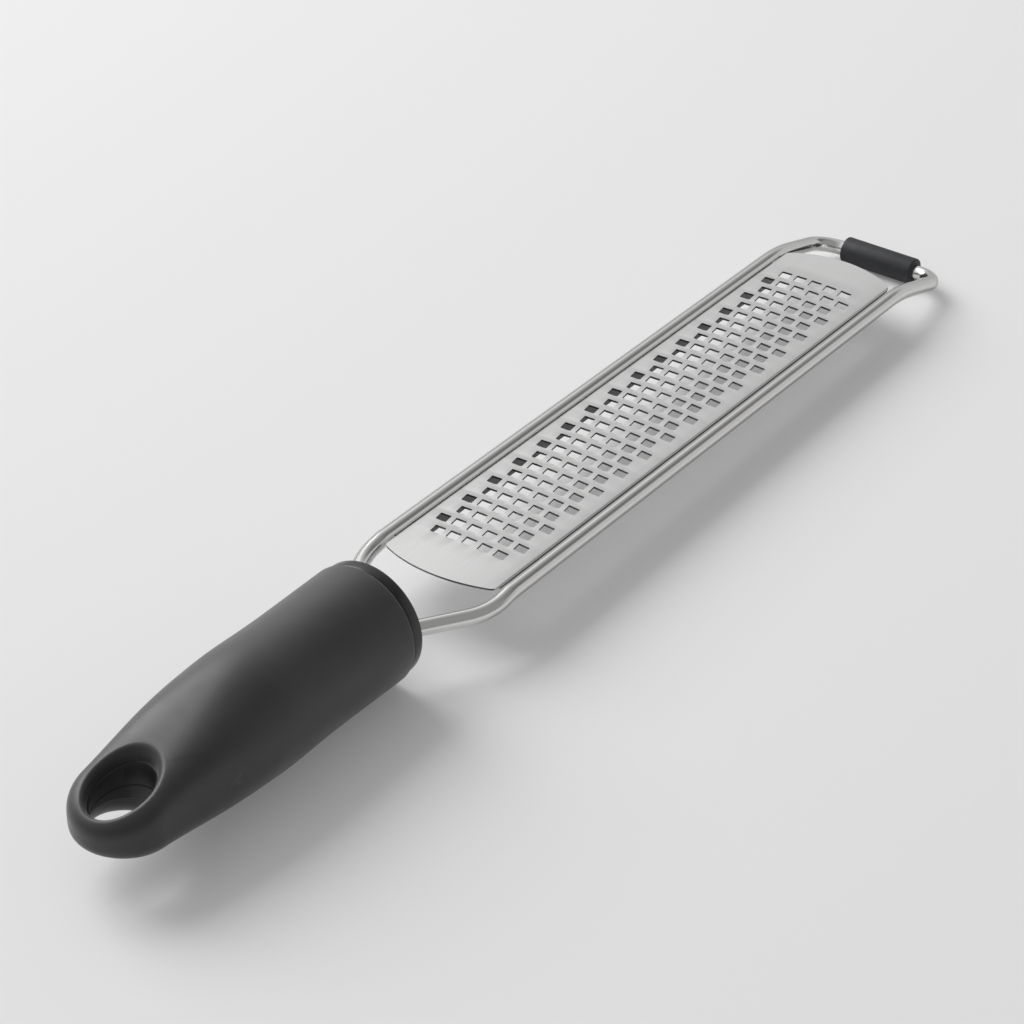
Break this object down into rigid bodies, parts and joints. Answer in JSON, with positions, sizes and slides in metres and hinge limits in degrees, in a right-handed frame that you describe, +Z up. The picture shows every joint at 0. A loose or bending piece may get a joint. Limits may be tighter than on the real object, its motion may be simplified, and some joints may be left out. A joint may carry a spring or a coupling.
{
  "type": "hand-held cheese grater",
  "caption": "Narrow hand-held grater: crowned steel grating plate in a bent wire frame, soft-grip handle with a hang hole, rubber sleeve on the dropped tip.",
  "frame": {"origin": "on the surface the grater lies on, below the middle of its length", "axes": "+X along the tool from the handle's eye to the tip, +Y across the plate, +Z up from the surface it lies on"},
  "size_m": [0.3228, 0.0414, 0.0316],
  "materials": {
    "plate_steel": "satin stainless sheet",
    "frame_steel": "polished stainless wire",
    "tip_rubber": "matte blue-black rubber",
    "collar_plastic": "semi-gloss black",
    "core_plastic": "plain black moulding",
    "grip_rubber": "charcoal soft-touch"
  },
  "bodies": {
    "root": {"grater_plate": "plate_steel", "wire_frame": "frame_steel", "tip_sleeve": "tip_rubber", "front_collar": "collar_plastic", "handle_core": "core_plastic", "grip_sleeve": "grip_rubber"}
  },
  "joints": []
}
